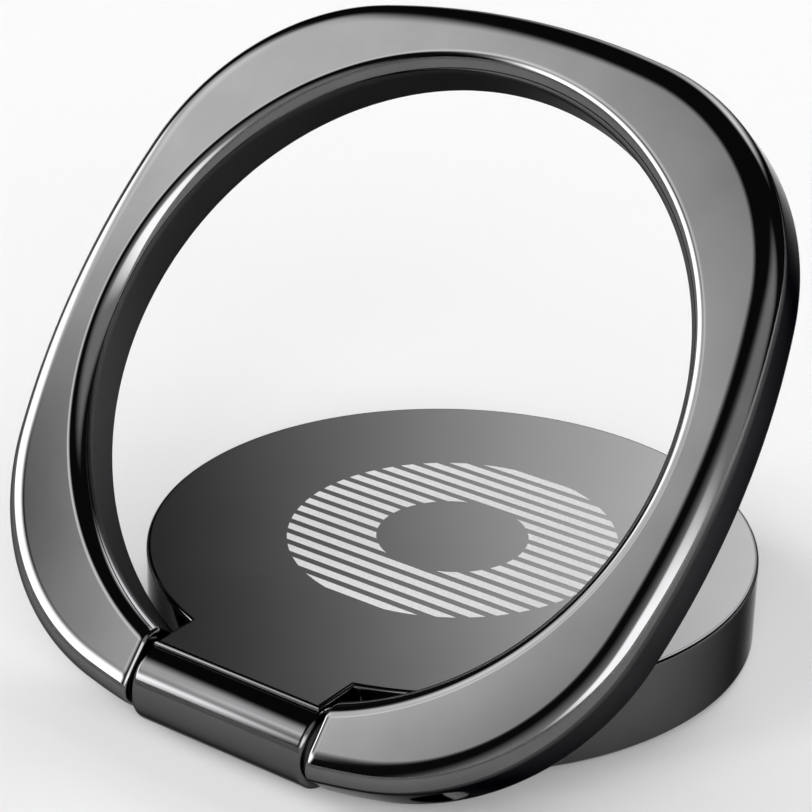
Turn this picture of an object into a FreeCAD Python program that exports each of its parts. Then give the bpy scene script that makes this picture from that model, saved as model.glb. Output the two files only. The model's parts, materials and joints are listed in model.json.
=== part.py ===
import FreeCAD, Part
import math
import os
import Sketcher

# A finger-ring phone stand. The round base is stuck to the back of a phone. A rounded-square
# ring is hinged on a barrel at the base's front edge and props the phone up, or takes a finger.
# Frame: origin in the middle of the adhesive face, +Z out of the base's flat top, X along the
# hinge axis and -Y towards the hinge. Lengths are in millimetres, the angle in degrees.

DRIVING_SIZES = [
    ("disc_diameter", 36.0, "round base, across its rim"),
    ("disc_height", 5.0, "rim underside to flat top"),
    ("rim_bevel", 0.2, "bevelled top edge of the rim"),
    ("foot_bevel", 0.2, "bevelled bottom edge of the rim"),
    ("pad_thickness", 0.6, "adhesive foam pad"),
    ("pad_proud", 0.2, "how far the pad stands out below the rim"),
    ("pad_margin", 1.5, "rim left around the pad"),
    ("pad_gap", 0.15, "room around the pad in its recess"),
    ("hinge_offset", 1.7, "hinge axis beyond the disc's rim"),
    ("barrel_diameter", 4.6, "hinge barrel"),
    ("barrel_length", 11.8, "hinge barrel, end to end"),
    ("barrel_bevel", 0.3, "bevelled ends of the barrel"),
    ("barrel_lift", 0.1, "barrel underside above the rim underside"),
    ("neck_inset", 0.2, "neck flank inside each barrel end"),
    ("neck_overhang", 0.4, "flat top carried past the hinge axis"),
    ("neck_bevel", 0.15, "bevelled front edge of that flat top"),
    ("pin_diameter", 1.5, "hinge pin"),
    ("pin_grip", 3.5, "length of the pin held in each arm of the ring"),
    ("pin_bevel", 0.2, "bevelled ends of the pin"),
    ("pin_press", 0.01, "interference of the pin in the arms, on the radius"),
    ("bore_spare", 0.3, "depth left beyond the pin in the closed arm"),
    ("sleeve_wall", 0.3, "friction sleeve, wall"),
    ("sleeve_gap", 0.03, "running gap between pin and sleeve"),
    ("sleeve_press", 0.01, "interference of the sleeve in the barrel, on the radius"),
    ("sleeve_slit", 0.5, "slit along the sleeve"),
    ("sleeve_inset", 0.5, "sleeve end inside each barrel end"),
    ("washer_thickness", 0.2, "thrust washer"),
    ("washer_width", 1.0, "thrust washer, from hole to edge"),
    ("washer_gap", 0.1, "room around the pin in the washer"),
    ("end_play", 0.1, "room between a washer and the ring's end"),
    ("ring_clearance", 0.3, "gap between the folded ring and the disc"),
    ("ring_band", 3.75, "narrowest width of the ring, at the middle of a side"),
    ("ring_thickness", 4.0, "ring, front face to back face"),
    ("ring_side_round", 47.6, "radius of the four bowed sides"),
    ("ring_corner_round", 14.85, "radius of the four corners"),
    ("ring_edge_round", 1.0, "rounded outer edge of the front face"),
    ("ring_bore_round", 1.0, "rounded edge of the finger hole, at the front"),
    ("ring_back_bevel", 0.8, "bevelled edges of the back face"),
    ("ring_end_round", 0.25, "rounded ends of the ring beside the barrel"),
    ("rest_angle", 49.4, "ring opened from flat on the disc"),
]

# Places that several pieces share, as formulas of the driving sizes.
HINGE_REACH = "(sizes.disc_diameter / 2 + sizes.hinge_offset)"
HINGE_HEIGHT = "(sizes.pad_proud + sizes.barrel_lift + sizes.barrel_diameter / 2)"
DISC_TOP = "(sizes.pad_proud + sizes.disc_height)"
PAD_DIAMETER = "(sizes.disc_diameter - 2 * sizes.pad_margin)"
SLEEVE_DIAMETER = "(sizes.pin_diameter + 2 * sizes.sleeve_gap + 2 * sizes.sleeve_wall)"
BARREL_BORE = "(" + SLEEVE_DIAMETER + " - 2 * sizes.sleeve_press)"
WASHER_BORE = "(sizes.pin_diameter + 2 * sizes.washer_gap)"
RING_BORE = "(sizes.disc_diameter + 2 * sizes.ring_clearance)"
RING_REACH = "(" + RING_BORE + " / 2 + sizes.ring_band)"
RING_END = "(sizes.barrel_length / 2 + sizes.washer_thickness + sizes.end_play)"
# The folded ring lies level with the middle of the disc's height.
RING_LIFT = "(sizes.pad_proud + sizes.disc_height / 2 - " + HINGE_HEIGHT + ")"

ORIGIN = FreeCAD.Vector(0, 0, 0)
NORMAL = FreeCAD.Vector(0, 0, 1)
START, END, CENTRE = range(1, 4)
HORIZONTAL_AXIS, VERTICAL_AXIS = range(-1, -3, -1)
SAME_PLACE = 1e-6

doc = FreeCAD.newDocument("ring_phone_stand")
sizes = doc.addObject("Spreadsheet::Sheet", "sizes")
for row, (alias, number, note) in enumerate(DRIVING_SIZES, start=1):
    sizes.set(f"A{row}", note)
    sizes.set(f"B{row}", str(number))
    sizes.setAlias(f"B{row}", alias)
doc.recompute()


def size(alias):
    return float(sizes.get(alias))


def new_body(label):
    body = doc.addObject("PartDesign::Body", label)
    body.Label = label
    return body


def new_sketch(body, name, role):
    sketch = body.newObject("Sketcher::SketchObject", name)
    for plane in body.Origin.OriginFeatures:
        if plane.Role == role:
            sketch.AttachmentSupport = [(plane, "")]
    sketch.MapMode = "FlatFace"
    return sketch


def constrain(sketch, name, formula, *constraint):
    """Add a dimension to a sketch and bind it to a formula of the driving sizes."""
    index = sketch.addConstraint(Sketcher.Constraint(*constraint))
    sketch.renameConstraint(index, name)
    sketch.setExpression("Constraints." + name, formula)


def add_circle(sketch, name, diameter, across=None, up=None):
    """A circle about the sketch's origin, or about a point given by two formulas."""
    guess = 1.0
    circle = sketch.addGeometry(Part.Circle(ORIGIN, NORMAL, guess))
    constrain(sketch, name, diameter, "Diameter", circle, 2 * guess)
    if across is None:
        sketch.addConstraint(Sketcher.Constraint("Coincident", circle, CENTRE, HORIZONTAL_AXIS, START))
        return
    constrain(sketch, name + "_across", across, "DistanceX", HORIZONTAL_AXIS, START, circle, CENTRE, guess)
    constrain(sketch, name + "_up", up, "DistanceY", HORIZONTAL_AXIS, START, circle, CENTRE, guess)


def add_outline(sketch, corners):
    """A closed run of straight lines. Each corner is a name and its two formulas."""
    count = len(corners)
    spots = []
    for number in range(count):
        turn = 2 * math.pi * number / count
        spots.append(FreeCAD.Vector(math.cos(turn), math.sin(turn), 0))
    lines = []
    for number in range(count):
        line = Part.LineSegment(spots[number], spots[(number + 1) % count])
        lines.append(sketch.addGeometry(line))
    for number, (name, across, up) in enumerate(corners):
        line, before, spot = lines[number], lines[number - 1], spots[number]
        sketch.addConstraint(Sketcher.Constraint("Coincident", before, END, line, START))
        constrain(sketch, name + "_across", across, "DistanceX", HORIZONTAL_AXIS, START, line, START, spot.x)
        constrain(sketch, name + "_up", up, "DistanceY", HORIZONTAL_AXIS, START, line, START, spot.y)


def add_pad(body, name, sketch, length, both_ways=False):
    pad = body.newObject("PartDesign::Pad", name)
    pad.Profile = sketch
    pad.setExpression("Length", length)
    if both_ways:
        pad.SideType = "Symmetric"
    doc.recompute()
    return pad


def add_pocket(body, name, sketch, length=None, both_ways=False, along_normal=False):
    """Cut a sketch out of a body, right through where no length is given."""
    pocket = body.newObject("PartDesign::Pocket", name)
    pocket.Profile = sketch
    if length is None:
        pocket.Type = "ThroughAll"
    else:
        pocket.setExpression("Length", length)
    if both_ways:
        pocket.SideType = "Symmetric"
    pocket.Reversed = along_normal
    doc.recompute()
    return pocket


def edges_where(feature, test):
    """Names of the edges all of whose sampled points pass the test."""
    names = []
    for number, edge in enumerate(feature.Shape.Edges, start=1):
        if all(test(point) for point in edge.discretize(5)):
            names.append(f"Edge{number}")
    return names


def soften(body, name, kind, feature, test, formula):
    """Round or bevel the edges of a feature that pass a test on their points."""
    dress = body.newObject("PartDesign::" + kind, name)
    dress.Base = (feature, edges_where(feature, test))
    dress.setExpression("Radius" if kind == "Fillet" else "Size", formula)
    doc.recompute()
    return dress


def place_on_hinge(body):
    body.setExpression("Placement.Base.y", "-" + HINGE_REACH)
    body.setExpression("Placement.Base.z", HINGE_HEIGHT)


def make_base():
    """Die-cast disc with its neck and bored hinge barrel in one piece."""
    body = new_body("base")
    rim = new_sketch(body, "rim_sketch", "XY_Plane")
    rim.setExpression("AttachmentOffset.Base.z", "sizes.pad_proud")
    add_circle(rim, "rim", "sizes.disc_diameter")
    disc = add_pad(body, "disc", rim, "sizes.disc_height")
    middle = size("pad_proud") + size("disc_height") / 2
    disc = soften(body, "rim_top", "Chamfer", disc, lambda p: p.z > middle, "sizes.rim_bevel")
    foot = size("pad_proud") + SAME_PLACE
    disc = soften(body, "rim_foot", "Chamfer", disc, lambda p: p.z < foot, "sizes.foot_bevel")

    neck_front = "-(" + HINGE_REACH + " + sizes.neck_overhang)"
    neck_back = "-sizes.disc_diameter / 4"
    barrel_underside = "sizes.pad_proud + sizes.barrel_lift"
    flank = new_sketch(body, "neck_sketch", "YZ_Plane")
    add_outline(flank, [
        ("top_back", neck_back, DISC_TOP),
        ("top_front", neck_front + " + sizes.neck_bevel", DISC_TOP),
        ("bevel_foot", neck_front, DISC_TOP + " - sizes.neck_bevel"),
        ("front_foot", neck_front, HINGE_HEIGHT),
        ("under_axis", "-" + HINGE_REACH, HINGE_HEIGHT),
        ("bottom_front", "-" + HINGE_REACH, barrel_underside),
        ("bottom_back", neck_back, barrel_underside),
    ])
    add_pad(body, "neck", flank, "sizes.barrel_length - 2 * sizes.neck_inset", both_ways=True)

    # Half section of the barrel, drawn about the hinge axis and turned round it.
    half = new_sketch(body, "barrel_sketch", "XZ_Plane")
    half.setExpression("AttachmentOffset.Base.y", HINGE_HEIGHT)
    half.setExpression("AttachmentOffset.Base.z", HINGE_REACH)
    radius = "sizes.barrel_diameter / 2"
    bore_radius = BARREL_BORE + " / 2"
    reach = "sizes.barrel_length / 2"
    add_outline(half, [
        ("bore_right", reach, bore_radius),
        ("face_right", reach, radius + " - sizes.barrel_bevel"),
        ("bevel_right", reach + " - sizes.barrel_bevel", radius),
        ("bevel_left", "-(" + reach + " - sizes.barrel_bevel)", radius),
        ("face_left", "-" + reach, radius + " - sizes.barrel_bevel"),
        ("bore_left", "-" + reach, bore_radius),
    ])
    barrel = body.newObject("PartDesign::Revolution", "barrel")
    barrel.Profile = half
    barrel.ReferenceAxis = (half, ["H_Axis"])
    barrel.Angle = 360
    doc.recompute()

    bore = new_sketch(body, "bore_sketch", "YZ_Plane")
    add_circle(bore, "bore", BARREL_BORE, "-" + HINGE_REACH, HINGE_HEIGHT)
    add_pocket(body, "barrel_bore", bore, both_ways=True)

    recess = new_sketch(body, "recess_sketch", "XY_Plane")
    recess.setExpression("AttachmentOffset.Base.z", "sizes.pad_proud")
    add_circle(recess, "recess", PAD_DIAMETER + " + 2 * sizes.pad_gap")
    add_pocket(body, "pad_recess", recess, "sizes.pad_thickness - sizes.pad_proud", along_normal=True)
    return body


def add_rounded_square(sketch):
    """Four bowed sides and four corners, all tangent, about the sketch's origin."""
    side_round = size("ring_side_round")
    corner_round = size("ring_corner_round")
    reach = size("disc_diameter") / 2 + size("ring_clearance") + size("ring_band")
    beyond = side_round - reach
    step = side_round - corner_round
    corner_at = (math.sqrt(2 * step ** 2 - beyond ** 2) - beyond) / 2
    meet = math.atan2(corner_at, corner_at + beyond)
    sides = []
    corners = []
    for quarter in range(4):
        turn = quarter * math.pi / 2
        spin = FreeCAD.Rotation(NORMAL, math.degrees(turn))
        side_centre = spin.multVec(FreeCAD.Vector(-beyond, 0, 0))
        corner_centre = spin.multVec(FreeCAD.Vector(corner_at, corner_at, 0))
        side = Part.Circle(side_centre, NORMAL, side_round)
        corner = Part.Circle(corner_centre, NORMAL, corner_round)
        sides.append(sketch.addGeometry(Part.ArcOfCircle(side, turn - meet, turn + meet)))
        corner_arc = Part.ArcOfCircle(corner, turn + meet, turn + math.pi / 2 - meet)
        corners.append(sketch.addGeometry(corner_arc))
    for quarter in range(4):
        following = sides[(quarter + 1) % 4]
        sketch.addConstraint(Sketcher.Constraint("Tangent", sides[quarter], END, corners[quarter], START))
        sketch.addConstraint(Sketcher.Constraint("Tangent", corners[quarter], END, following, START))
    constrain(sketch, "side_round", "sizes.ring_side_round", "Radius", sides[0], side_round)
    constrain(sketch, "corner_round", "sizes.ring_corner_round", "Radius", corners[0], corner_round)
    formula = "(sizes.ring_side_round - " + RING_REACH + ")"
    for quarter, side in enumerate(sides):
        if quarter > 0:
            sketch.addConstraint(Sketcher.Constraint("Equal", sides[0], side))
            sketch.addConstraint(Sketcher.Constraint("Equal", corners[0], corners[quarter]))
        level = quarter % 2 == 0
        axis = HORIZONTAL_AXIS if level else VERTICAL_AXIS
        distance = "DistanceX" if level else "DistanceY"
        sign = -1 if quarter < 2 else 1
        signed_formula = formula if sign > 0 else "-" + formula
        sketch.addConstraint(Sketcher.Constraint("PointOnObject", side, CENTRE, axis))
        constrain(sketch, f"side_centre_{quarter}", signed_formula,
                  distance, HORIZONTAL_AXIS, START, side, CENTRE, sign * beyond)


def make_ring():
    """Die-cast ring, open at the barrel, with the pin's bore along its two arms."""
    body = new_body("ring")
    face = new_sketch(body, "ring_sketch", "XY_Plane")
    add_rounded_square(face)
    add_circle(face, "finger_hole", RING_BORE)
    ring = add_pad(body, "ring_blank", face, "sizes.ring_thickness", both_ways=True)

    half_way = size("disc_diameter") / 2 + size("ring_clearance") + size("ring_band") / 2
    face_height = size("ring_thickness") / 2 - SAME_PLACE

    def on_front_outer_edge(point):
        return point.z > face_height and math.hypot(point.x, point.y) > half_way

    def on_front_bore_edge(point):
        return point.z > face_height and math.hypot(point.x, point.y) < half_way

    def on_back_edge(point):
        return point.z < -face_height

    ring = soften(body, "outer_edge", "Fillet", ring, on_front_outer_edge, "sizes.ring_edge_round")
    ring = soften(body, "bore_edge", "Fillet", ring, on_front_bore_edge, "sizes.ring_bore_round")
    ring = soften(body, "back_edges", "Chamfer", ring, on_back_edge, "sizes.ring_back_bevel")

    opening = new_sketch(body, "opening_sketch", "XY_Plane")
    far = "-2 * " + RING_REACH
    near = "-" + RING_BORE + " / 4"
    add_outline(opening, [
        ("far_left", "-" + RING_END, far),
        ("far_right", RING_END, far),
        ("near_right", RING_END, near),
        ("near_left", "-" + RING_END, near),
    ])
    ring = add_pocket(body, "barrel_opening", opening, both_ways=True)
    end_at = size("barrel_length") / 2 + size("washer_thickness") + size("end_play")
    soften(body, "arm_ends", "Fillet", ring, lambda p: abs(abs(p.x) - end_at) < SAME_PLACE,
           "sizes.ring_end_round")

    pin_hole = "sizes.pin_diameter - 2 * sizes.pin_press"
    grip_end = RING_END + " + sizes.pin_grip + sizes.bore_spare"
    open_hole = new_sketch(body, "open_hole_sketch", "YZ_Plane")
    add_circle(open_hole, "open_hole", pin_hole, "-" + HINGE_REACH, "-" + RING_LIFT)
    add_pocket(body, "pin_bore_open", open_hole, along_normal=True)
    closed_hole = new_sketch(body, "closed_hole_sketch", "YZ_Plane")
    add_circle(closed_hole, "closed_hole", pin_hole, "-" + HINGE_REACH, "-" + RING_LIFT)
    add_pocket(body, "pin_bore_closed", closed_hole, grip_end)

    # The ring's own middle swings about the hinge axis to the rest angle.
    swing = "sizes.rest_angle"
    body.Placement = FreeCAD.Placement(ORIGIN, FreeCAD.Rotation(FreeCAD.Vector(1, 0, 0), size("rest_angle")))
    body.setExpression("Placement.Rotation.Angle", swing)
    body.setExpression("Placement.Base.y",
                       f"{HINGE_REACH} * (cos({swing}) - 1) - {RING_LIFT} * sin({swing})")
    body.setExpression("Placement.Base.z",
                       f"{HINGE_HEIGHT} + {HINGE_REACH} * sin({swing}) + {RING_LIFT} * cos({swing})")
    return body


def make_pin():
    """Straight steel pin, pressed into both arms of the ring."""
    body = new_body("hinge_pin")
    section = new_sketch(body, "pin_sketch", "YZ_Plane")
    add_circle(section, "pin", "sizes.pin_diameter")
    rod = add_pad(body, "rod", section, "2 * (" + RING_END + " + sizes.pin_grip)", both_ways=True)
    end_at = rod.Shape.BoundBox.XMax - SAME_PLACE
    soften(body, "rod_ends", "Chamfer", rod, lambda p: abs(p.x) > end_at, "sizes.pin_bevel")
    place_on_hinge(body)
    return body


def make_sleeve():
    """Rolled spring sleeve, slit along its length and pressed into the barrel."""
    body = new_body("friction_sleeve")
    section = new_sketch(body, "sleeve_sketch", "YZ_Plane")
    add_circle(section, "outside", SLEEVE_DIAMETER)
    add_circle(section, "inside", "sizes.pin_diameter + 2 * sizes.sleeve_gap")
    add_pad(body, "tube", section, "sizes.barrel_length - 2 * sizes.sleeve_inset", both_ways=True)
    slit = new_sketch(body, "slit_sketch", "YZ_Plane")
    add_outline(slit, [
        ("inner_low", "sizes.pin_diameter / 4", "-sizes.sleeve_slit / 2"),
        ("outer_low", SLEEVE_DIAMETER, "-sizes.sleeve_slit / 2"),
        ("outer_high", SLEEVE_DIAMETER, "sizes.sleeve_slit / 2"),
        ("inner_high", "sizes.pin_diameter / 4", "sizes.sleeve_slit / 2"),
    ])
    add_pocket(body, "slit", slit, both_ways=True)
    place_on_hinge(body)
    return body


def make_washer(label, side):
    """Thin thrust washer on one end of the barrel: side is -1 on the left, 1 on the right."""
    body = new_body(label)
    section = new_sketch(body, label + "_sketch", "YZ_Plane")
    add_circle(section, "hole", WASHER_BORE)
    add_circle(section, "edge", WASHER_BORE + " + 2 * sizes.washer_width")
    add_pad(body, label + "_plate", section, "sizes.washer_thickness", both_ways=True)
    place_on_hinge(body)
    middle = "(sizes.barrel_length + sizes.washer_thickness) / 2"
    body.setExpression("Placement.Base.x", middle if side > 0 else "-" + middle)
    return body


def make_pad():
    """Round adhesive foam pad in the recess under the disc."""
    pad = doc.addObject("Part::Cylinder", "adhesive_pad")
    pad.Label = "adhesive_pad"
    pad.setExpression("Radius", PAD_DIAMETER + " / 2")
    pad.setExpression("Height", "sizes.pad_thickness")
    return pad


pieces = [
    make_base(),
    make_ring(),
    make_pin(),
    make_sleeve(),
    make_washer("washer_left", -1),
    make_washer("washer_right", 1),
    make_pad(),
]
doc.recompute()

for item in doc.Objects:
    if "Invalid" in item.State or "Error" in item.State:
        raise RuntimeError(f"{item.Name} did not build: {item.State}")
for piece in pieces:
    if piece.Shape.isNull() or not piece.Shape.isValid() or len(piece.Shape.Solids) != 1:
        raise RuntimeError(f"{piece.Label} is not one sound solid")

os.makedirs("parts", exist_ok=True)
for piece in pieces:
    piece.Shape.exportStep(f"parts/{piece.Label}.step")
    print(f"{piece.Label}: {piece.Shape.Volume:.2f} cubic mm")
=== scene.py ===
import json
import math

import bpy
from mathutils import Matrix, Vector


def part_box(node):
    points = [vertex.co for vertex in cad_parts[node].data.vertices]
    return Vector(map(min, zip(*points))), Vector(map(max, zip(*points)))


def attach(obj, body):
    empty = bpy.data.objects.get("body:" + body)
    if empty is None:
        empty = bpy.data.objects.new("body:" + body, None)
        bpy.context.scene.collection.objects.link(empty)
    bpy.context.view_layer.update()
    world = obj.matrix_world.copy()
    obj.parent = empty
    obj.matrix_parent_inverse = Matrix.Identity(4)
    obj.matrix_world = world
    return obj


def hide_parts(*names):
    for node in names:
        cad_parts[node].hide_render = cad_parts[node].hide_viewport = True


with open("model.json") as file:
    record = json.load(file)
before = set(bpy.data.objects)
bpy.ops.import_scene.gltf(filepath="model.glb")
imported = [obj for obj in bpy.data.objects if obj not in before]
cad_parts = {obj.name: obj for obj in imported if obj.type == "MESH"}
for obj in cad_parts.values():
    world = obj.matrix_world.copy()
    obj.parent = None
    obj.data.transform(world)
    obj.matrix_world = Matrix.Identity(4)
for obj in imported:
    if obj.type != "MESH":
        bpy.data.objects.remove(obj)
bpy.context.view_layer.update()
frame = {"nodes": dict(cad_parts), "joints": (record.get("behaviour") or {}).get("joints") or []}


# The base is a die-cast zinc disc with its neck and hinge barrel in one piece, plated in black nickel.
# The flat top is blasted to a satin before plating, and the rim, the side and the barrel are polished.
# The polished parts are given a darker colour than the satin top and the ring of the same plating: painted
# shade.
# It is lofted through closed rows of points, in millimetres like the other castings, and then scaled.
MM = 0.001
MILLIMETRES = Matrix.Scale(MM, 4)
QUARTER_TURN = math.pi / 2


def in_millimetres(length):
    """A length or a place from the frame, in millimetres to the nearest thousandth."""
    return round(length / MM, 3)


base_low, base_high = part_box("base")
DISC_RADIUS = in_millimetres(base_high.x)
DISC_FOOT = in_millimetres(base_low.z)
DISC_TOP = in_millimetres(base_high.z)
RIM_POINTS = 288
RIM_ROUND = 0.22
FOOT_BEVEL = 0.2
RECESS_RADIUS = 16.65
RECESS_TOP = 0.6
NECK_HALF = 5.7
NECK_FRONT = -20.1
hinge = frame["joints"][0]
HINGE_Y = in_millimetres(hinge["pos_m"][1])
HINGE_Z = in_millimetres(hinge["pos_m"][2])
BARREL_RADIUS = 2.3
BARREL_HALF = in_millimetres(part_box("washer_right")[0].x)
BARREL_ROUND = 0.3
BARREL_POINTS = 144
BARREL_BORE = 1.07
BARREL_BORE_POINTS = 72
CUTTER_OVERRUN = 1.0  # how far a bore's cutter reaches past the face that it opens
ROUND_STEPS = 8
HOLD = 0.02  # a row this close to a rounded edge keeps the flat beside it flat
SHARP_ANGLE = math.radians(28)
HAZE_DETAIL = 3.0
GRAIN_DETAIL = 2.0
NOISE_MIDDLE = 0.5


def new_group(name, inputs, outputs):
    """An empty shader node group with its input and output nodes."""
    group = bpy.data.node_groups.new(name, "ShaderNodeTree")
    for label, kind, value in inputs:
        socket = group.interface.new_socket(label, in_out="INPUT", socket_type=kind)
        if value is not None:
            socket.default_value = value
    for label, kind in outputs:
        group.interface.new_socket(label, in_out="OUTPUT", socket_type=kind)
    return group, group.nodes.new("NodeGroupInput"), group.nodes.new("NodeGroupOutput")


def feed(tree, value, socket):
    """Gives a socket another node's output, or a plain value of its own."""
    if isinstance(value, bpy.types.NodeSocket):
        tree.links.new(value, socket)
    else:
        socket.default_value = value


def math_node(tree, operation, *values):
    """The result of a new Math node. Each value is a number or another node's output."""
    node = tree.nodes.new("ShaderNodeMath")
    node.operation = operation
    for socket, value in zip(node.inputs, values):
        feed(tree, value, socket)
    return node.outputs["Value"]


def noise(tree, coordinates, scale, detail):
    """The value of a new noise texture, with its scale in features to the metre."""
    node = tree.nodes.new("ShaderNodeTexNoise")
    node.inputs["Detail"].default_value = detail
    feed(tree, coordinates, node.inputs["Vector"])
    feed(tree, scale, node.inputs["Scale"])
    return node.outputs["Fac"]


# Plating as it comes from the vat: a faint uneven haze over some millimetres, and a fine grain.
plating_haze, haze_in, haze_out = new_group(
    "plating_haze",
    [("Coordinates", "NodeSocketVector", None), ("Colour", "NodeSocketColor", (0.05, 0.05, 0.05, 1.0)),
     ("Haze", "NodeSocketFloat", 0.1), ("Haze scale", "NodeSocketFloat", 250.0),
     ("Roughness", "NodeSocketFloat", 0.1), ("Grain scale", "NodeSocketFloat", 8000.0)],
    [("Colour", "NodeSocketColor"), ("Roughness", "NodeSocketFloat"), ("Height", "NodeSocketFloat")])
haze_place = haze_in.outputs["Coordinates"]
haze_noise = noise(plating_haze, haze_place, haze_in.outputs["Haze scale"], HAZE_DETAIL)
haze_swing = math_node(plating_haze, "SUBTRACT", haze_noise, NOISE_MIDDLE)
haze_weight = math_node(plating_haze, "MULTIPLY", haze_in.outputs["Haze"], 2.0)
haze_factor = math_node(plating_haze, "MULTIPLY_ADD", haze_swing, haze_weight, 1.0)
haze_colour = plating_haze.nodes.new("ShaderNodeVectorMath")
haze_colour.operation = "SCALE"
feed(plating_haze, haze_in.outputs["Colour"], haze_colour.inputs[0])
feed(plating_haze, haze_factor, haze_colour.inputs["Scale"])
haze_roughness = math_node(plating_haze, "MULTIPLY", haze_in.outputs["Roughness"], haze_factor)
grain_noise = noise(plating_haze, haze_place, haze_in.outputs["Grain scale"], GRAIN_DETAIL)
feed(plating_haze, haze_colour.outputs["Vector"], haze_out.inputs["Colour"])
feed(plating_haze, haze_roughness, haze_out.inputs["Roughness"])
feed(plating_haze, grain_noise, haze_out.inputs["Height"])


def new_material(name):
    """A material with its Principled shader and its object coordinates."""
    material = bpy.data.materials.new(name)
    material.use_nodes = True
    nodes = material.node_tree.nodes
    return material, nodes["Principled BSDF"], nodes.new("ShaderNodeTexCoord").outputs["Object"]


def plating(name, colour, edge, roughness, haze, haze_scale, grain_scale, grain_depth):
    """Plated or bare metal: its colour, the tint of its edges, its polish, how uneven that is, and its
    grain. Scales are in features to the metre, and the grain's depth is in metres."""
    material, shader, coordinates = new_material(name)
    tree = material.node_tree
    finish = tree.nodes.new("ShaderNodeGroup")
    finish.node_tree = plating_haze
    feed(tree, coordinates, finish.inputs["Coordinates"])
    feed(tree, (*colour, 1.0), finish.inputs["Colour"])
    feed(tree, haze, finish.inputs["Haze"])
    feed(tree, haze_scale, finish.inputs["Haze scale"])
    feed(tree, roughness, finish.inputs["Roughness"])
    feed(tree, grain_scale, finish.inputs["Grain scale"])
    grain = tree.nodes.new("ShaderNodeBump")
    grain.inputs["Strength"].default_value = 1.0
    grain.inputs["Distance"].default_value = grain_depth
    feed(tree, finish.outputs["Height"], grain.inputs["Height"])
    feed(tree, finish.outputs["Colour"], shader.inputs["Base Color"])
    feed(tree, finish.outputs["Roughness"], shader.inputs["Roughness"])
    feed(tree, grain.outputs["Normal"], shader.inputs["Normal"])
    shader.inputs["Metallic"].default_value = 1.0
    shader.inputs["Specular Tint"].default_value = (edge, edge, edge, 1.0)
    return material


satin_nickel = plating("satin_black_nickel", colour=(0.20, 0.20, 0.203), edge=0.3, roughness=0.2,
                       haze=0.05, haze_scale=160.0, grain_scale=9000.0, grain_depth=4e-7)
# The polished base is set darker than the same plating elsewhere: painted shade on the disc's side and
# barrel.
shaded_bright_nickel = plating("polished_black_nickel_painted_shade", colour=(0.095, 0.095, 0.097), edge=0.3, roughness=0.05,
                        haze=0.12, haze_scale=300.0, grain_scale=900.0, grain_depth=2e-7)


def spread(start, end, count):
    """Evenly spaced values from start to end, both counted."""
    return [start + (end - start) * step / (count - 1) for step in range(count)]


def loft(name, rows, materials):
    """A closed mesh through rows of points, each row a closed loop, with a flat cap at both ends. Its
    faces take the first of its materials."""
    size = len(rows[0])
    points = [point for row in rows for point in row]
    faces = [tuple(reversed(range(size)))]
    for row in range(len(rows) - 1):
        low = row * size
        high = low + size
        for step in range(size):
            after = (step + 1) % size
            faces.append((low + step, low + after, high + after, high + step))
    faces.append(tuple(range(len(points) - size, len(points))))
    mesh = bpy.data.meshes.new(name)
    mesh.from_pydata(points, [], faces)
    mesh.update()
    for material in materials:
        mesh.materials.append(material)
    return mesh


def lathe_along_x(name, profile, middle, count, materials):
    """A closed mesh turned about a line along X: the profile is (x, radius) and middle is (y, z)."""
    turns = [2 * math.pi * step / count for step in range(count)]
    rows = []
    for x, radius in profile:
        rows.append([(x, middle[0] + radius * math.cos(turn), middle[1] + radius * math.sin(turn))
                     for turn in turns])
    return loft(name, rows, materials)


def cut_or_join(mesh, tool, operation):
    """The mesh after a boolean with the tool mesh. Both are spent."""
    piece = bpy.data.objects.new(mesh.name, mesh)
    other = bpy.data.objects.new(tool.name, tool)
    for thing in (piece, other):
        bpy.context.scene.collection.objects.link(thing)
    boolean = piece.modifiers.new("boolean", "BOOLEAN")
    boolean.operation = operation
    boolean.solver = "EXACT"
    boolean.object = other
    result = bpy.data.meshes.new_from_object(piece.evaluated_get(bpy.context.evaluated_depsgraph_get()))
    for thing in (piece, other):
        spent = thing.data
        bpy.data.objects.remove(thing)
        bpy.data.meshes.remove(spent)
    return result


def finished_piece(name, mesh, place=MILLIMETRES):
    """The piece's object at the origin, with its place in its mesh and its round surfaces smooth."""
    mesh.name = name
    mesh.transform(place)
    mesh.shade_smooth()
    mesh.set_sharp_from_angle(angle=SHARP_ANGLE)
    piece = bpy.data.objects.new(name, mesh)
    bpy.context.scene.collection.objects.link(piece)
    return piece


def base_outline(inset, height):
    """The plan of disc and neck, anticlockwise from the right of the neck, moved in by inset."""
    radius = DISC_RADIUS - inset
    half = NECK_HALF - inset
    front = NECK_FRONT + inset
    notch = math.asin(half / radius)
    turns = spread(notch - QUARTER_TURN, 3 * QUARTER_TURN - notch, RIM_POINTS)
    points = [(radius * math.cos(turn), radius * math.sin(turn), height) for turn in turns]
    points.append((-half, front, height))
    points.append((half, front, height))
    return points


def recess_outline(height):
    """The round pad recess, with its points facing those of the base's outline."""
    turns = [math.atan2(y, x) for x, y, _ in base_outline(0.0, height)]
    return [(RECESS_RADIUS * math.cos(turn), RECESS_RADIUS * math.sin(turn), height) for turn in turns]


base_rows = [
    recess_outline(RECESS_TOP),
    recess_outline(DISC_FOOT),
    base_outline(FOOT_BEVEL, DISC_FOOT),
    base_outline(0.0, DISC_FOOT + FOOT_BEVEL),
    base_outline(0.0, DISC_TOP - RIM_ROUND - HOLD),
]
for turn in spread(0.0, QUARTER_TURN, ROUND_STEPS):
    inset = RIM_ROUND * (1 - math.cos(turn))
    drop = RIM_ROUND * (1 - math.sin(turn))
    base_rows.append(base_outline(inset, DISC_TOP - drop))
base_rows.append(base_outline(RIM_ROUND + HOLD, DISC_TOP))
base_finishes = [shaded_bright_nickel, satin_nickel]
base_mesh = loft("base_plate", base_rows, base_finishes)
flat_top = base_mesh.polygons[-1]
flat_top.material_index = base_finishes.index(satin_nickel)

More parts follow.
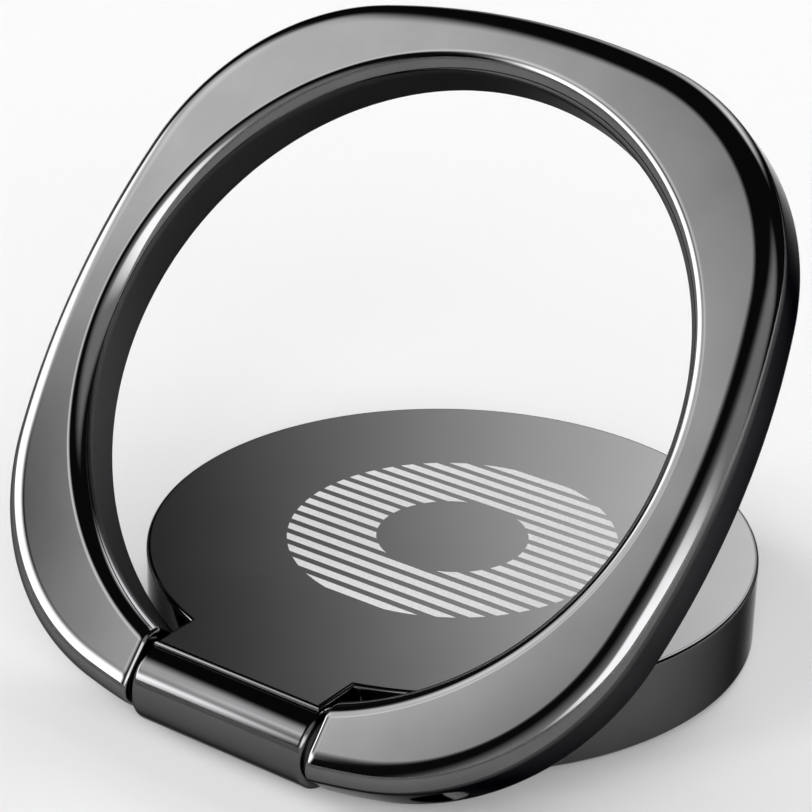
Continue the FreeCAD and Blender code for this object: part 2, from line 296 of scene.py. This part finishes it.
barrel_right = [(BARREL_HALF - BARREL_ROUND - HOLD, BARREL_RADIUS)]
for turn in spread(0.0, QUARTER_TURN, ROUND_STEPS):
    barrel_right.append((BARREL_HALF - BARREL_ROUND * (1 - math.sin(turn)),
                         BARREL_RADIUS - BARREL_ROUND * (1 - math.cos(turn))))
barrel_right.append((BARREL_HALF, BARREL_RADIUS - BARREL_ROUND - HOLD))
barrel_profile = [(-x, radius) for x, radius in reversed(barrel_right)] + barrel_right
hinge_line = (HINGE_Y, HINGE_Z)
barrel_mesh = lathe_along_x("barrel", barrel_profile, hinge_line, BARREL_POINTS, base_finishes)
base_mesh = cut_or_join(base_mesh, barrel_mesh, "UNION")
bore_end = BARREL_HALF + CUTTER_OVERRUN
bore_profile = [(-bore_end, BARREL_BORE), (bore_end, BARREL_BORE)]
bore_mesh = lathe_along_x("barrel_bore", bore_profile, hinge_line, BARREL_BORE_POINTS, base_finishes)
base_mesh = cut_or_join(base_mesh, bore_mesh, "DIFFERENCE")
base = finished_piece("base_casting", base_mesh)
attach(base, "stand_base")
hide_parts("base")


# The print on the flat top is a round field of thin straight bars, screened in pale grey ink and open
# in the middle. Each bar is a thin film of ink, and its ends follow the field's two circles.
PRINT_OUTER = 9.77 * MM
PRINT_INNER = 4.5 * MM
PRINT_BARS = 18
PRINT_PITCH = 1.088 * MM
PRINT_BAR_WIDTH = 0.6 * MM
INK_FILM = 0.01 * MM
BAR_POINTS_ALONG = 9
BAR_POINTS_ACROSS = 5
MERGE_DISTANCE = 0.0001 * MM

bar_tree = bpy.data.node_groups.new("printed_bars", "GeometryNodeTree")
bar_sockets = {}
for label, kind in (("Outer radius", "NodeSocketFloat"), ("Inner radius", "NodeSocketFloat"),
                    ("Bars", "NodeSocketInt"), ("Pitch", "NodeSocketFloat"),
                    ("Bar width", "NodeSocketFloat"), ("Film", "NodeSocketFloat"),
                    ("Top", "NodeSocketFloat"), ("Ink", "NodeSocketMaterial")):
    bar_sockets[label] = bar_tree.interface.new_socket(label, in_out="INPUT", socket_type=kind).identifier
bar_tree.interface.new_socket("Print", in_out="OUTPUT", socket_type="NodeSocketGeometry")
bar_in = bar_tree.nodes.new("NodeGroupInput").outputs
bar_out = bar_tree.nodes.new("NodeGroupOutput").inputs


def bar_vector(x, y, z):
    """A vector in the tree of the print, from numbers or other nodes' outputs."""
    node = bar_tree.nodes.new("ShaderNodeCombineXYZ")
    for socket, value in zip(node.inputs, (x, y, z)):
        feed(bar_tree, value, socket)
    return node.outputs["Vector"]


def bar_node(kind, **inputs):
    """The first output of a new node in the tree of the print, with its inputs given by their names."""
    node = bar_tree.nodes.new(kind)
    for label, value in inputs.items():
        feed(bar_tree, value, node.inputs[label.replace("_", " ")])
    return node.outputs[0]


def bars_joined(*geometries):
    """Sets of bars made one, with the points that meet merged."""
    node = bar_tree.nodes.new("GeometryNodeJoinGeometry")
    for geometry in geometries:
        bar_tree.links.new(geometry, node.inputs["Geometry"])
    return bar_node("GeometryNodeMergeByDistance", Geometry=node.outputs["Geometry"],
                    Distance=MERGE_DISTANCE)


# Half of one bar runs from 0 to 1 along X, and copies of it stand one pitch apart along Y.
half_bar = bar_node("GeometryNodeMeshGrid", Size_X=1.0, Size_Y=bar_in["Bar width"],
                    Vertices_X=BAR_POINTS_ALONG, Vertices_Y=BAR_POINTS_ACROSS)
half_bar = bar_node("GeometryNodeTransform", Geometry=half_bar, Translation=(0.5, 0.0, 0.0))
last_bar = math_node(bar_tree, "SUBTRACT", bar_in["Bars"], 1.0)
field_width = math_node(bar_tree, "MULTIPLY", last_bar, bar_in["Pitch"])
first_y = math_node(bar_tree, "MULTIPLY", field_width, -0.5)
bar_places = bar_node("GeometryNodeMeshLine", Count=bar_in["Bars"],
                      Start_Location=bar_vector(0.0, first_y, 0.0),
                      Offset=bar_vector(0.0, bar_in["Pitch"], 0.0))
half_bars = bar_node("GeometryNodeInstanceOnPoints", Points=bar_places, Instance=half_bar)
half_bars = bar_node("GeometryNodeRealizeInstances", Geometry=half_bars)

# Each half bar is stretched between the two circles, mirrored to the left and raised to a film.
place = bar_tree.nodes.new("ShaderNodeSeparateXYZ")
feed(bar_tree, bar_node("GeometryNodeInputPosition"), place.inputs["Vector"])
across = math_node(bar_tree, "MULTIPLY", place.outputs["Y"], place.outputs["Y"])
circle_x = {}
for label in ("Outer radius", "Inner radius"):
    radius_squared = math_node(bar_tree, "MULTIPLY", bar_in[label], bar_in[label])
    chord = math_node(bar_tree, "SUBTRACT", radius_squared, across)
    circle_x[label] = math_node(bar_tree, "SQRT", math_node(bar_tree, "MAXIMUM", chord, 0.0))
run = math_node(bar_tree, "SUBTRACT", circle_x["Outer radius"], circle_x["Inner radius"])
along = math_node(bar_tree, "MULTIPLY_ADD", run, place.outputs["X"], circle_x["Inner radius"])
right_bars = bar_node("GeometryNodeSetPosition", Geometry=half_bars,
                      Position=bar_vector(along, place.outputs["Y"], bar_in["Top"]))
left_bars = bar_node("GeometryNodeTransform", Geometry=right_bars, Scale=(-1.0, 1.0, 1.0))
left_bars = bar_node("GeometryNodeFlipFaces", Mesh=left_bars)
flat_bars = bars_joined(right_bars, left_bars)
raised_bars = bar_node("GeometryNodeExtrudeMesh", Mesh=flat_bars, Offset=bar_vector(0.0, 0.0, 1.0),
                       Offset_Scale=bar_in["Film"], Individual=False)
whole_bars = bars_joined(raised_bars, bar_node("GeometryNodeFlipFaces", Mesh=flat_bars))
whole_bars = bar_node("GeometryNodeRealizeInstances", Geometry=whole_bars)
whole_bars = bar_node("GeometryNodeSetMaterial", Geometry=whole_bars, Material=bar_in["Ink"])
feed(bar_tree, whole_bars, bar_out["Print"])


def grey_ramp(tree, amount, low, high, start=0.0, end=1.0):
    """The colour of a ramp that turns an amount into a grey, from low at start to high at end."""
    node = tree.nodes.new("ShaderNodeValToRGB")
    dark, light = node.color_ramp.elements
    dark.position = start
    dark.color = (low, low, low, 1.0)
    light.position = end
    light.color = (high, high, high, 1.0)
    feed(tree, amount, node.inputs["Fac"])
    return node.outputs["Color"]


print_ink, ink_shader, ink_coordinates = new_material("pale_grey_ink")
ink_mottle = noise(print_ink.node_tree, ink_coordinates, scale=6000.0, detail=3.0)
ink_tone = grey_ramp(print_ink.node_tree, ink_mottle, low=0.57, high=0.66, start=0.3, end=0.7)
feed(print_ink.node_tree, ink_tone, ink_shader.inputs["Base Color"])
ink_shader.inputs["Roughness"].default_value = 0.6

bars_source = bpy.data.objects.new("printed_bars_source", bpy.data.meshes.new("printed_bars_source"))
bpy.context.scene.collection.objects.link(bars_source)
bars_modifier = bars_source.modifiers.new("printed_bars", "NODES")
bars_modifier.node_group = bar_tree
for label, value in (("Outer radius", PRINT_OUTER), ("Inner radius", PRINT_INNER), ("Bars", PRINT_BARS),
                     ("Pitch", PRINT_PITCH), ("Bar width", PRINT_BAR_WIDTH), ("Film", INK_FILM),
                     ("Top", DISC_TOP * MM), ("Ink", print_ink)):
    bars_modifier[bar_sockets[label]] = value
bars_mesh = bpy.data.meshes.new_from_object(bars_source.evaluated_get(bpy.context.evaluated_depsgraph_get()))
bpy.data.objects.remove(bars_source)
bars_mesh.name = "printed_bars"
bars_mesh.materials.pop(index=0)  # the empty slot that comes before the ink
printed_bars = bpy.data.objects.new("printed_bars", bars_mesh)
bpy.context.scene.collection.objects.link(printed_bars)
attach(printed_bars, "stand_base")


# The adhesive pad is a disc die-cut from acrylic foam tape and stuck in the recess under the disc.
# It stands a little proud of the disc's foot, and its cut edge bulges slightly.
pad_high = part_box("adhesive_pad")[1]
PAD_RADIUS = in_millimetres(pad_high.x)
PAD_HEIGHT = in_millimetres(pad_high.z)
PAD_BULGE = 0.08
PAD_POINTS = 192
PAD_ROWS = 7


def circle_row(radius, height, count):
    """A closed row of points on a level circle about the stand's middle."""
    turns = [2 * math.pi * step / count for step in range(count)]
    return [(radius * math.cos(turn), radius * math.sin(turn), height) for turn in turns]


pad_rows = []
for rise in spread(0.0, 1.0, PAD_ROWS):
    drawn_in = PAD_BULGE * (1 - math.sin(math.pi * rise))
    pad_rows.append(circle_row(PAD_RADIUS - drawn_in, PAD_HEIGHT * rise, PAD_POINTS))
foam_tape, foam_shader, foam_coordinates = new_material("dark_foam_tape")
foam_tree = foam_tape.node_tree
foam_cells = foam_tree.nodes.new("ShaderNodeTexVoronoi")
foam_cells.inputs["Scale"].default_value = 5000.0
feed(foam_tree, foam_coordinates, foam_cells.inputs["Vector"])
foam_depth = foam_cells.outputs["Distance"]
foam_bump = foam_tree.nodes.new("ShaderNodeBump")
foam_bump.inputs["Distance"].default_value = 0.03 * MM
foam_bump.inputs["Strength"].default_value = 0.6
feed(foam_tree, foam_depth, foam_bump.inputs["Height"])
feed(foam_tree, foam_bump.outputs["Normal"], foam_shader.inputs["Normal"])
# The foam's colour follows the cells' depth, darker in their hollows: painted shade.
feed(foam_tree, grey_ramp(foam_tree, foam_depth, low=0.018, high=0.05), foam_shader.inputs["Base Color"])
foam_shader.inputs["Roughness"].default_value = 0.85
pad = finished_piece("foam_pad", loft("foam_pad", pad_rows, [foam_tape]))
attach(pad, "stand_base")
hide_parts("adhesive_pad")


# The friction sleeve is rolled from thin spring steel, with a slit along it, and sprung into the
# barrel, where it grips the pin. It is the solid itself, in steel with the marks of rolling.
def dress(node, material):
    """Gives a solid of the frame its finish."""
    finishes = frame["nodes"][node].data.materials
    finishes.clear()
    finishes.append(material)


rolled_steel = plating("rolled_spring_steel", colour=(0.30, 0.30, 0.31), edge=1.0, roughness=0.32,
                       haze=0.2, haze_scale=900.0, grain_scale=6000.0, grain_depth=1e-6)
dress("friction_sleeve", rolled_steel)


# The two washers are stamped from black nylon sheet and run between the barrel and the ring's arms.
# They show only as the dark slits beside the barrel.
nylon, nylon_shader, nylon_coordinates = new_material("black_nylon")
nylon_mottle = noise(nylon.node_tree, nylon_coordinates, scale=4000.0, detail=2.0)
nylon_tone = grey_ramp(nylon.node_tree, nylon_mottle, low=0.012, high=0.03)
feed(nylon.node_tree, nylon_tone, nylon_shader.inputs["Base Color"])
nylon_shader.inputs["Roughness"].default_value = 0.55
for washer in ("washer_left", "washer_right"):
    dress(washer, nylon)


# The ring is die-cast in zinc, plated in black nickel and mirror-polished: a rounded square outside and
# round inside, with well rounded front edges and bevelled back edges. Its outer wall and the wall of its
# finger hole get less polish, and they are given a darker colour of the same plating: painted shade.
# It is drawn flat, and then turned up about the hinge.
RING_REACH = 22.05
RING_SIDE_ROUND = 47.6
RING_CORNER_ROUND = 14.85
RING_BORE = 18.3
RING_HALF_THICKNESS = 2.0
OUTER_CROWN = 3.0
OUTER_CROWN_TURN = math.radians(15)
OUTER_ROUND = 1.0
BORE_CROWN_TURN = math.radians(10)
BORE_ROUND = 1.1
RING_BACK_BEVEL = 0.8
RING_BACK_SOFTENING = 0.12
RING_END = 6.2
RING_END_ROUND = 0.25
RING_STATIONS = 480
EDGE_ROUND_POINTS = 15
CROWN_POINTS = 9
SOFT_CORNER_POINTS = 5
END_ROUND_POINTS = 6
END_FIRST_TURN = 0.3
END_REFINEMENTS = 7
WALL_TURN = math.radians(68.5)  # a face that turns further than this from the front is on a wall
RING_LIFT = 0.1  # the middle of the ring's thickness lies this far above the pin when folded down
RING_ANGLE = -math.radians(hinge["range_deg"][0])  # the hinge's lower limit folds the ring flat
PIN_BORE = 0.74
PIN_BORE_POINTS = 64
PIN_BORE_BLIND_END = -10.0
PIN_BORE_OPEN_END = 17.0

# The middle of each side's arc lies past the ring's middle, and that of each corner's arc lies on a
# diagonal, where the two arcs run on into each other.
SIDE_BEYOND = RING_SIDE_ROUND - RING_REACH
MIDDLES_APART = RING_SIDE_ROUND - RING_CORNER_ROUND
CORNER_MIDDLE = (math.sqrt(2 * MIDDLES_APART ** 2 - SIDE_BEYOND ** 2) - SIDE_BEYOND) / 2


def outline_radius(turn, inset):
    """From the ring's middle to its outer outline moved in by inset, at an angle from the hinge."""
    fold = abs((turn + QUARTER_TURN / 2) % QUARTER_TURN - QUARTER_TURN / 2)
    side = RING_SIDE_ROUND - inset
    meet = math.atan2(CORNER_MIDDLE, CORNER_MIDDLE + SIDE_BEYOND)
    meet_turn = math.atan2(side * math.sin(meet), side * math.cos(meet) - SIDE_BEYOND)
    if fold <= meet_turn:
        return math.sqrt(side ** 2 - (SIDE_BEYOND * math.sin(fold)) ** 2) - SIDE_BEYOND * math.cos(fold)
    corner = RING_CORNER_ROUND - inset
    off_line = CORNER_MIDDLE * (math.cos(fold) - math.sin(fold))
    return CORNER_MIDDLE * (math.cos(fold) + math.sin(fold)) + math.sqrt(corner ** 2 - off_line ** 2)


def bore_radius(turn, inset):
    """From the ring's middle to its bore moved out into the metal by inset, the same all round."""
    return RING_BORE + inset


def way_from(start, end):
    """The direction from one point of the section to another."""
    length = math.hypot(end[0] - start[0], end[1] - start[1])
    return ((end[0] - start[0]) / length, (end[1] - start[1]) / length)


def softened_corner(before, corner, after, reach):
    """Points on a curve that cuts a corner of the section, from reach before it to reach after it."""
    arriving = way_from(before, corner)
    leaving = way_from(corner, after)
    start = (corner[0] - arriving[0] * reach, corner[1] - arriving[1] * reach)
    end = (corner[0] + leaving[0] * reach, corner[1] + leaving[1] * reach)
    points = []
    for share in spread(0.0, 1.0, SOFT_CORNER_POINTS):
        weights = ((1 - share) ** 2, 2 * share * (1 - share), share ** 2)
        points.append(tuple(weights[0] * a + weights[1] * b + weights[2] * c
                            for a, b, c in zip(start, corner, end)))
    return points


def edge_section(crown, crown_turn, edge_round):
    """One edge of the section, from the back face round to the front, as (inset, height). In front, the
    face rolls off gently over the crown's radius before the edge itself turns down."""
    thick = RING_HALF_THICKNESS
    bevel = RING_BACK_BEVEL
    face_start = crown * math.sin(crown_turn) + edge_round * (1 - math.sin(crown_turn))
    wall_top = thick - crown * (1 - math.cos(crown_turn)) - edge_round * math.cos(crown_turn)
    back_corner = (bevel, -thick)
    wall_corner = (0.0, bevel - thick)
    points = [(bevel + RING_BACK_SOFTENING + HOLD, -thick)]
    points += softened_corner((2 * bevel, -thick), back_corner, wall_corner, RING_BACK_SOFTENING)
    points += softened_corner(back_corner, wall_corner, (0.0, wall_top), RING_BACK_SOFTENING)
    points.append((0.0, wall_top - HOLD))
    for turn in spread(QUARTER_TURN, crown_turn, EDGE_ROUND_POINTS):
        points.append((edge_round * (1 - math.sin(turn)), wall_top + edge_round * math.cos(turn)))
    for turn in spread(crown_turn, 0.0, CROWN_POINTS)[1:]:
        points.append((face_start - crown * math.sin(turn), thick - crown * (1 - math.cos(turn))))
    points.append((face_start + HOLD, thick))
    return points


def edge_rails(radius_at, points):
    """The rails that an edge section follows round the ring: each has its radius, its point of the
    section and the way that the section faces there, as (inset, height)."""
    rails = []
    for step, point in enumerate(points):
        run, rise = way_from(points[max(step - 1, 0)], points[min(step + 1, len(points) - 1)])
        rails.append((radius_at, point, (-rise, run)))
    return rails


def rail_point(rail, shrink, share, end_x):
    """A point of a rail, at a share of its way from the right arm's end plane to the left one's."""
    radius_at, (inset, height), (way_in, way_up) = rail
    inset -= shrink * way_in
    height -= shrink * way_up
    # The angle at which the rail meets the end plane is closed in on from a first guess.
    start = END_FIRST_TURN
    for _ in range(END_REFINEMENTS):
        start = math.asin(end_x / radius_at(start, inset))
    turn = start + share * (2 * math.pi - 2 * start)
    radius = radius_at(turn, inset)
    return (radius * math.sin(turn), -radius * math.cos(turn), height)


ring_rails = edge_rails(outline_radius, edge_section(OUTER_CROWN, OUTER_CROWN_TURN, OUTER_ROUND))
ring_rails += reversed(edge_rails(bore_radius, edge_section(BORE_ROUND, BORE_CROWN_TURN, BORE_ROUND)))
end_rows = []
for turn in spread(0.0, QUARTER_TURN, END_ROUND_POINTS):
    end_rows.append((RING_END_ROUND * (1 - math.sin(turn)),
                     RING_END + RING_END_ROUND * (1 - math.cos(turn))))
ring_rows = []
for shrink, end_x in end_rows[:-1]:
    ring_rows.append([rail_point(rail, shrink, 0.0, end_x) for rail in ring_rails])
for share in spread(0.0, 1.0, RING_STATIONS):
    ring_rows.append([rail_point(rail, 0.0, share, RING_END + RING_END_ROUND) for rail in ring_rails])
for shrink, end_x in reversed(end_rows[:-1]):
    ring_rows.append([rail_point(rail, shrink, 1.0, end_x) for rail in ring_rails])

mirror_nickel = plating("mirror_black_nickel", colour=(0.125, 0.125, 0.127), edge=0.35, roughness=0.05,
                        haze=0.12, haze_scale=300.0, grain_scale=900.0, grain_depth=2e-7)
# The finger hole's wall: less polished, and set darker than the faces as painted shade.
rough_and_shaded_nickel = plating("cast_black_nickel_painted_shade", colour=(0.062, 0.062, 0.064), edge=0.3, roughness=0.38,
                      haze=0.1, haze_scale=200.0, grain_scale=6000.0, grain_depth=1e-6)
# The outer wall: set darker than the faces as painted shade.
shaded_wall_nickel = plating("wall_black_nickel_painted_shade", colour=(0.06, 0.06, 0.062), edge=0.3, roughness=0.08,
                      haze=0.12, haze_scale=300.0, grain_scale=900.0, grain_depth=2e-7)
ring_finishes = [mirror_nickel, rough_and_shaded_nickel, shaded_wall_nickel]
ring_mesh = loft("ring", ring_rows, ring_finishes)
# Faces on the walls take the darker platings, which are painted shade.
for face in ring_mesh.polygons:
    on_arm_end = face.center.y < 0.0 and abs(face.center.x) < RING_END + RING_END_ROUND
    on_wall = abs(face.normal.z) < math.cos(WALL_TURN)
    if on_wall and not on_arm_end:
        in_bore = math.hypot(face.center.x, face.center.y) < RING_BORE + BORE_ROUND
        face.material_index = ring_finishes.index(rough_and_shaded_nickel if in_bore else shaded_wall_nickel)
left_bore = (PIN_BORE_BLIND_END, CUTTER_OVERRUN - RING_END)
right_bore = (RING_END - CUTTER_OVERRUN, PIN_BORE_OPEN_END)
for start, end in (left_bore, right_bore):
    pin_bore = lathe_along_x("pin_bore", [(start, PIN_BORE), (end, PIN_BORE)],
                             (HINGE_Y, -RING_LIFT), PIN_BORE_POINTS, ring_finishes)
    ring_mesh = cut_or_join(ring_mesh, pin_bore, "DIFFERENCE")
ring_place = Matrix.Translation((0.0, HINGE_Y, HINGE_Z)) @ Matrix.Rotation(RING_ANGLE, 4, "X")
ring_place = MILLIMETRES @ ring_place @ Matrix.Translation((0.0, -HINGE_Y, RING_LIFT))
ring = finished_piece("ring_casting", ring_mesh, ring_place)
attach(ring, "swing_ring")
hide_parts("ring")


# The hinge pin is ground steel, pressed through the right arm and the barrel into the left arm.
# It is the solid itself, and its end shows deep in the bore's mouth on the right arm.
ground_steel = plating("ground_steel", colour=(0.45, 0.45, 0.46), edge=1.0, roughness=0.2,
                       haze=0.2, haze_scale=900.0, grain_scale=6000.0, grain_depth=1e-6)
dress("hinge_pin", ground_steel)


# The floor is a plain white paper sheet that turns up into a low round wall far behind and around the
# stand, as a product photographer's cove does. It is in metres.
COVE_MIDDLE = 0.02
COVE_FLAT = 2.4
COVE_BEND = 0.5
COVE_WALL = 0.1
COVE_POINTS = 96
COVE_BEND_POINTS = 9
PAPER_WHITE = 0.78

cove_profile = [(COVE_MIDDLE, 0.0), (COVE_FLAT, 0.0)]
for turn in spread(0.0, QUARTER_TURN, COVE_BEND_POINTS)[1:]:
    cove_profile.append((COVE_FLAT + COVE_BEND * math.sin(turn), COVE_BEND * (1 - math.cos(turn))))
cove_profile.append((COVE_FLAT + COVE_BEND, COVE_BEND + COVE_WALL))
cove_points = []
for radius, height in cove_profile:
    cove_points += circle_row(radius, height, COVE_POINTS)
cove_faces = [tuple(range(COVE_POINTS))]
for row in range(len(cove_profile) - 1):
    low = row * COVE_POINTS
    high = low + COVE_POINTS
    for step in range(COVE_POINTS):
        after = (step + 1) % COVE_POINTS
        cove_faces.append((low + after, low + step, high + step, high + after))
cove_mesh = bpy.data.meshes.new("paper_cove")
cove_mesh.from_pydata(cove_points, [], cove_faces)
cove_mesh.shade_smooth()
white_paper, paper_shader, _ = new_material("white_paper")
paper_shader.inputs["Base Color"].default_value = (PAPER_WHITE, PAPER_WHITE, PAPER_WHITE, 1.0)
paper_shader.inputs["Roughness"].default_value = 0.9
paper_shader.inputs["Specular IOR Level"].default_value = 0.0
cove_mesh.materials.append(white_paper)
floor = bpy.data.objects.new("paper_cove", cove_mesh)
bpy.context.scene.collection.objects.link(floor)


# The light is a dark studio with soft panels: four at the left, two at the right and one behind. Each
# panel is flat, faces the stand from a compass angle and a height, and fades out at its edges.
STUDIO_DARK = 0.02
LEAST_DEPTH = 0.001
UPWARDS = Vector((0.0, 0.0, 1.0))

soft_panel, panel_in, panel_out = new_group(
    "soft_panel",
    [("Direction", "NodeSocketVector", None), ("Facing", "NodeSocketVector", None),
     ("Side", "NodeSocketVector", None), ("Rise", "NodeSocketVector", None),
     ("Half width", "NodeSocketFloat", 0.5), ("Half height", "NodeSocketFloat", 0.5),
     ("Fade", "NodeSocketFloat", 0.1), ("Level", "NodeSocketFloat", 1.0)],
    [("Light", "NodeSocketFloat")])


def panel_reach(axis):
    """How far the direction points along one of the panel's own axes."""
    node = soft_panel.nodes.new("ShaderNodeVectorMath")
    node.operation = "DOT_PRODUCT"
    feed(soft_panel, panel_in.outputs["Direction"], node.inputs[0])
    feed(soft_panel, panel_in.outputs[axis], node.inputs[1])
    return node.outputs["Value"]


panel_depth = math_node(soft_panel, "MAXIMUM", panel_reach("Facing"), LEAST_DEPTH)
panel_fade = panel_in.outputs["Fade"]
panel_light = panel_in.outputs["Level"]
for axis, limit in (("Side", "Half width"), ("Rise", "Half height")):
    half_size = panel_in.outputs[limit]
    off_middle = math_node(soft_panel, "DIVIDE", panel_reach(axis), panel_depth)
    fading = soft_panel.nodes.new("ShaderNodeMapRange")
    fading.interpolation_type = "SMOOTHSTEP"
    feed(soft_panel, math_node(soft_panel, "ABSOLUTE", off_middle), fading.inputs["Value"])
    feed(soft_panel, math_node(soft_panel, "SUBTRACT", half_size, panel_fade), fading.inputs["From Min"])
    feed(soft_panel, math_node(soft_panel, "ADD", half_size, panel_fade), fading.inputs["From Max"])
    fading.inputs["To Min"].default_value = 1.0
    fading.inputs["To Max"].default_value = 0.0
    panel_light = math_node(soft_panel, "MULTIPLY", panel_light, fading.outputs["Result"])
feed(soft_panel, panel_light, panel_out.inputs["Light"])


def direction_from(compass, rise):
    """The direction from the stand's middle at a compass angle from the front and an angle of rise."""
    level = math.cos(rise)
    return Vector((math.sin(compass) * level, -math.cos(compass) * level, math.sin(rise)))


# Compass angle from the front, height, roll, half width, half height, fade (degrees) and level.
SOFT_PANELS = (
    (-58.5, 44.0, 0.0, 16.0, 7.0, 6.2, 3.3),
    (-72.0, 32.0, 0.0, 13.0, 8.0, 6.0, 3.0),
    (-61.5, 9.0, -3.5, 24.0, 18.5, 5.0, 8.8),
    (-40.6, 26.5, 8.0, 3.4, 14.5, 5.0, 2.9),
    (49.5, 18.0, -32.0, 31.0, 15.0, 10.0, 6.2),
    (44.0, 15.0, 33.0, 54.0, 46.0, 25.0, 1.05),
    (193.8, 31.0, 32.0, 10.5, 30.0, 11.7, 5.5),
)

world = bpy.data.worlds.new("studio")
world.use_nodes = True
bpy.context.scene.world = world
studio = world.node_tree
studio_direction = studio.nodes.new("ShaderNodeTexCoord").outputs["Generated"]
studio_light = STUDIO_DARK
for *angles, level in SOFT_PANELS:
    compass, rise, roll, half_width, half_height, fade = [math.radians(angle) for angle in angles]
    facing = direction_from(compass, rise)
    side = facing.cross(UPWARDS).normalized()
    rolled = Matrix.Rotation(roll, 3, facing)
    panel = studio.nodes.new("ShaderNodeGroup")
    panel.node_tree = soft_panel
    feed(studio, studio_direction, panel.inputs["Direction"])
    feed(studio, facing, panel.inputs["Facing"])
    feed(studio, rolled @ side, panel.inputs["Side"])
    feed(studio, rolled @ side.cross(facing), panel.inputs["Rise"])
    feed(studio, math.tan(half_width), panel.inputs["Half width"])
    feed(studio, math.tan(half_height), panel.inputs["Half height"])
    feed(studio, math.tan(fade), panel.inputs["Fade"])
    feed(studio, level, panel.inputs["Level"])
    studio_light = math_node(studio, "ADD", panel.outputs["Light"], studio_light)
feed(studio, studio_light, studio.nodes["Background"].inputs["Strength"])
studio.nodes["Background"].inputs["Color"].default_value = (1.0, 1.0, 1.0, 1.0)


# The camera stands where the photograph was taken from, at the right of the front and well above it.
# It looks at a point above the disc, so it is panned, tilted and rolled a little from the disc's middle.
CAMERA_TURN = math.radians(34.6257)
CAMERA_RISE = math.radians(29.3296)
CAMERA_DISTANCE = 155.2412 * MM
CAMERA_FOCUS = Vector((0.0, 0.0, DISC_FOOT * MM))
CAMERA_PAN = math.radians(1.1096)
CAMERA_TILT = math.radians(4.4802)
CAMERA_ROLL = math.radians(1.6383)
CAMERA_NEAR = 5 * MM
FOCAL_PIXELS = 2583.669
IMAGE_WIDTH = 812
SENSOR_WIDTH = 36.0

away = direction_from(CAMERA_TURN, CAMERA_RISE)
right = UPWARDS.cross(away).normalized()
aim = Matrix((right, away.cross(right), away)).transposed()
aim = aim @ Matrix.Rotation(CAMERA_PAN, 3, "Y")
aim = aim @ Matrix.Rotation(CAMERA_TILT, 3, "X")
aim = aim @ Matrix.Rotation(CAMERA_ROLL, 3, "Z")
camera_data = bpy.data.cameras.new("camera")
camera_data.sensor_width = SENSOR_WIDTH
camera_data.lens = FOCAL_PIXELS * SENSOR_WIDTH / IMAGE_WIDTH
camera_data.clip_start = CAMERA_NEAR
camera = bpy.data.objects.new("camera", camera_data)
camera.matrix_world = Matrix.Translation(CAMERA_FOCUS + away * CAMERA_DISTANCE) @ aim.to_4x4()
bpy.context.scene.collection.objects.link(camera)
bpy.context.scene.camera = camera
bpy.context.scene.view_settings.view_transform = "Standard"
